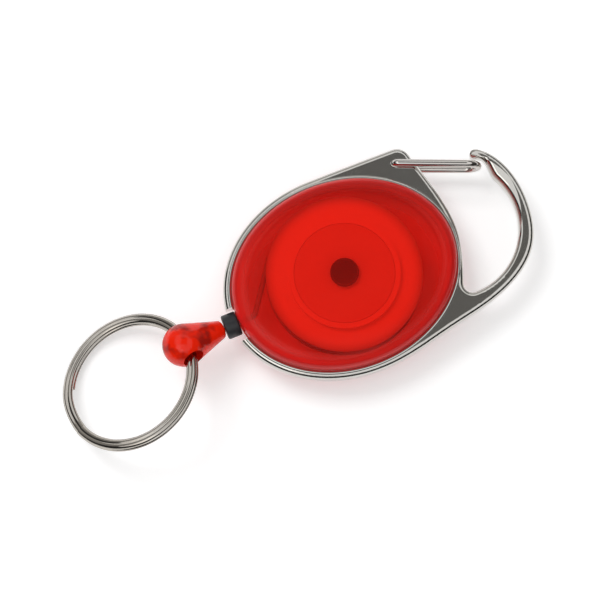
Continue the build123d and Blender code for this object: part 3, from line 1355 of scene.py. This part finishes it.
@dataclass
class CordWinding:
    """The cord on the drum, laid turn by turn in layers."""

    cord: float = 0.9 * MM
    pitch: float = 0.99 * MM
    squeeze: float = 0.98
    layers: int = 3
    across: int = 2
    points_per_turn: int = 32
    slip_from: float = 0.9

    def spiral(self, inner: float, middle: float) -> list[Triple]:
        """One spiral that climbs from layer to layer.

        Args:
            inner: the radius of the lowest layer.
            middle: the height of the groove's middle.

        Returns:
            Its points.
        """
        places = []
        for index in range(self.layers * self.across * self.points_per_turn):
            turn = index / self.points_per_turn
            part = turn - int(turn)
            slip = max(0.0, part - self.slip_from) / (1 - self.slip_from)
            layer, lane = divmod(int(turn), self.across)
            next_layer, next_lane = divmod(int(turn + 1), self.across)
            next_layer = min(next_layer, self.layers - 1)
            radius = inner + (layer + (next_layer - layer) * slip) * self.cord
            lane_z = lane + (next_lane - lane) * slip
            z = middle + (lane_z - (self.across - 1) / 2) * self.pitch
            angle = part * TURN
            places.append((radius * math.cos(angle), radius * math.sin(angle), z))
        return places

    def build(self, finish: bpy.types.Material) -> bpy.types.Object:
        """Winds the cord on the drum.

        Args:
            finish: the cord's material.

        Returns:
            The winding.
        """
        low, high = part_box("cord_winding")
        inner = high.x - self.cord / 2 - (self.layers - 1) * self.cord
        made = Bench.tube(
            "cord_turns",
            self.spiral(inner, (low.z + high.z) / 2),
            self.cord / 2 * self.squeeze,
            (2, 3),
            {"order_u": 3, "use_endpoint_u": True},
        )
        Bench.soften(made, 60)
        Bench.dress(made, finish)
        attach(made, "spool")
        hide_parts("cord_winding")
        return made


# ------------------------------------------------------------------ studio
@dataclass
class Studio:
    """The floor, the light, the dark cards that the metal mirrors, and the camera."""

    azimuth: float = math.radians(-22)
    elevation: float = math.radians(80)
    distance: float = 0.42
    view_width: float = 0.10084
    sensor: float = 36.0
    aim_right: float = -7.45 * MM
    aim_up: float = -4.16 * MM
    aim_height: float = 6.5 * MM
    floor_size: float = 14.0
    world_level: float = 0.66
    key_power: float = 1.4
    card_level: float = 0.16
    near_level: float = 1.9
    floor_glow: float = 0.28
    wall_levels: tuple[float, ...] = (0.05, 0.20, 0.55, 0.34, 0.05, 0.03, 0.05, 0.04)
    wall_radius: float = 0.6
    wall_height: float = 0.52

    def axes(self) -> tuple[Vector, Vector, Vector]:
        """The camera's directions.

        Returns:
            Its right, up and back.
        """
        back = Vector(
            (
                math.sin(self.azimuth) * math.cos(self.elevation),
                -math.cos(self.azimuth) * math.cos(self.elevation),
                math.sin(self.elevation),
            )
        )
        right = Vector((math.cos(self.azimuth), math.sin(self.azimuth), 0))
        return right, back.cross(right), back

    def target(self) -> Vector:
        """The point that the camera looks at."""
        right, up, _ = self.axes()
        return Vector((0, 0, self.aim_height)) + right * self.aim_right + up * self.aim_up

    def camera(self) -> None:
        """Puts the camera in place."""
        right, up, back = self.axes()
        data = bpy.data.cameras.new("view")
        data.sensor_width = self.sensor
        data.lens = self.sensor * self.distance / self.view_width
        data.clip_start = 0.01
        data.clip_end = 20
        made = bpy.data.objects.new("view", data)
        bpy.context.scene.collection.objects.link(made)
        place = Matrix((right, up, back)).transposed().to_4x4()
        made.matrix_world = Matrix.Translation(self.target() + back * self.distance) @ place
        bpy.context.scene.camera = made

    def world(self) -> None:
        """A white surround: full white where it is seen, mirrored or looked through."""
        sheet = ShaderSheet("surround", bpy.data.worlds)
        bpy.context.scene.world = sheet.owner
        level = sheet.node(
            "ShaderNodeMapRange",
            {},
            {"Value": sheet.seen(), "To Min": self.world_level, "To Max": 1.0},
        )
        background = sheet.node(
            "ShaderNodeBackground", {}, {"Color": (1, 1, 1, 1), "Strength": level.outputs[0]}
        )
        sheet.node("ShaderNodeOutputWorld", {}, {"Surface": background.outputs[0]})

    def floor(self) -> None:
        """A pale floor that keeps the object's shadow."""
        Bench.clear()
        bpy.ops.mesh.primitive_plane_add(size=self.floor_size, location=(0, 0, -0.02 * MM))
        made = Bench.named("floor")
        sheet = ShaderSheet("floor_paper")
        paper = sheet.noise(40, 2, 0.5)
        shader = sheet.principled(
            {
                "Base Color": sheet.blend_colours(paper, (0.93, 0.93, 0.93), (0.95, 0.95, 0.95)),
                "Roughness": 0.9,
                "Emission Color": sheet.blend_colours(
                    sheet.seen(), (0.05, 0.05, 0.05), (self.floor_glow,) * 3
                ),
                "Emission Strength": 1.0,
            }
        )
        Bench.dress(made, sheet.finish(shader.outputs[0]))

    def card(
        self,
        name: str,
        place: Vector,
        size: tuple[float, float],
        level: float,
        middle: Vector | None = None,
    ) -> None:
        """A card that only reflections see.

        Args:
            name: the card's name.
            place: its middle.
            size: its width and height.
            level: how bright it is.
            middle: the point that it faces; the object, if it isn't given.
        """
        Bench.clear()
        bpy.ops.mesh.primitive_plane_add(size=1)
        made = Bench.named(name)
        middle = middle or self.target()
        sideways = Vector((0, 0, 1)).cross(middle - place)
        sideways = sideways if sideways.length > 1e-4 else self.axes()[0]
        matrix = aim(place, middle - place, sideways)
        Bench.put(made, matrix @ Matrix.Diagonal((size[0], size[1], 1, 1)))
        sheet = ShaderSheet(name)
        glow = sheet.node(
            "ShaderNodeEmission", {}, {"Color": (1, 0.98, 0.95, 1), "Strength": level}
        )
        Bench.dress(made, sheet.finish(glow.outputs[0]))
        made.visible_camera = False
        made.visible_diffuse = False
        made.visible_shadow = False
        made.visible_transmission = False

    def lamp(self, name: str, place: Vector, size: float, power: float) -> None:
        """A soft square lamp that looks at the object.

        Args:
            name: the lamp's name.
            place: its middle.
            size: its side.
            power: its power in watts.
        """
        data = bpy.data.lights.new(name, "AREA")
        data.size = size
        data.energy = power
        made = bpy.data.objects.new(name, data)
        bpy.context.scene.collection.objects.link(made)
        made.matrix_world = aim(place, place - self.target(), self.axes()[0])
        made.visible_glossy = False

    def walls(self) -> None:
        """Stands eight cards round the object, which the metal's edges mirror."""
        right, up, _ = self.axes()
        level_up = Vector((up.x, up.y, 0)).normalized()
        middle = Vector((self.target().x, self.target().y, self.wall_height / 2))
        width = 2 * self.wall_radius * math.tan(TURN / 16)
        for index, level in enumerate(self.wall_levels):
            angle = index * TURN / 8
            side = right * math.cos(angle) + level_up * math.sin(angle)
            place = middle + side * self.wall_radius
            self.card(f"wall_{index}", place, (width, self.wall_height), level, middle)

    def build(self) -> None:
        """Sets up everything round the object."""
        right, up, _ = self.axes()
        middle = self.target()
        self.camera()
        self.world()
        self.floor()
        above = Vector((0, 0, 1))
        self.lamp("key", middle + above * 0.5 - right * 0.28 + up * 0.25, 0.28, self.key_power)
        self.card("dark_top", middle + above * 0.5 + up * 0.10, (0.34, 0.30), self.card_level)
        near_left = (-right - up) * 0.5
        near = middle + above * 0.42 + near_left * 0.38
        self.card("bright_near", near, (0.30, 0.16), self.near_level)
        self.walls()
        bpy.context.scene.view_settings.view_transform = "Standard"


# ------------------------------------------------------------------ whole object
def dress_nodes(
    nodes: dict[str, bpy.types.Object], dressing: dict[str, bpy.types.Material]
) -> None:
    """Gives CAD nodes that stay their finish.

    Args:
        nodes: the CAD nodes by name.
        dressing: a material for each node's name.
    """
    for name, material in dressing.items():
        Bench.dress(nodes[name], material)
        LOG.info("%s: dressed", name)


def main() -> None:
    """Builds the studio and every sub-assembly in order."""
    logging.basicConfig(level=logging.INFO, format="%(name)s %(message)s")
    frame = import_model()
    joints = Joints(frame["joints"])
    Studio().build()

    case_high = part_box("front_cover")[1]
    chrome = CastPlate(
        "frame_chrome", half_length=case_high.x, half_width=case_high.y
    ).material()
    wire = PlatedMetal("gate_wire_plating", warm=(0.58, 0.52, 0.47), ripple=0.00001).material()
    ring_low, ring_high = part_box("split_ring")
    ring_mount = next(m for m in frame["record"]["mounts"] if m["name"] == "ring_inside")
    ring_axis = Vector(ring_mount["axis"]).normalized()
    nickel = CoilPlate(
        "ring_nickel_plating",
        colour=(0.52, 0.50, 0.47),
        warm=(0.42, 0.38, 0.33),
        ripple=0.00001,
        centre=tuple((ring_low + ring_high) / 2),
        normal=tuple(ring_axis),
    ).material()
    steel = PlatedMetal(
        "axle_steel", colour=(0.20, 0.18, 0.20), warm=(0.16, 0.14, 0.16), roughness=0.3
    ).material()
    cover = ClearPlastic("case_red_outside").material()
    cover_behind = ClearPlastic(
        "case_red_behind", body=(0.96, 0.034, 0.022), deep=(0.70, 0.020, 0.016), clear=0.66
    ).material()
    cover_inside = ClearPlastic(
        "case_red_inside", tint=(1.0, 0.60, 0.52), clear=0.98, edge_clear=0.96
    ).material()
    drop = DropPlastic("fitting_red_clear").material()
    black = Moulding(
        "stop_black_rubber", (0.012, 0.014, 0.017), (0.02, 0.022, 0.026), 0.38
    ).material()
    spool = FlangedMoulding("spool_natural", (0.97, 0.96, 0.95), (0.95, 0.93, 0.92), 0.5).material()
    disc = Moulding("spring_cover_grey", (0.86, 0.80, 0.80), (0.80, 0.74, 0.74), 0.5).material()
    cord = Braid("cord_braid").material()

    dress_nodes(
        frame["nodes"],
        {
            "carabiner_frame": chrome,
            "spool_drum": spool,
            "spring_cover": disc,
            "spool_axle": steel,
            "power_spring": steel,
            "cord_lead": cord,
        },
    )
    CaseCovers().build(cover, cover_behind, cover_inside)
    LOG.info("covers: built")
    GateWire().build(joints, wire)
    LOG.info("gate: built")
    SplitRing().build(joints, ring_axis, nickel)
    LOG.info("split ring: built")
    EndFitting().build(joints, drop)
    LOG.info("end fitting: built")
    end = CordEnd()
    end.stop(black)
    end.line(joints, cord)
    end.knot(cord)
    LOG.info("cord end: built")
    CordWinding().build(cord)
    LOG.info("winding: built")


if __name__ == "__main__":
    main()
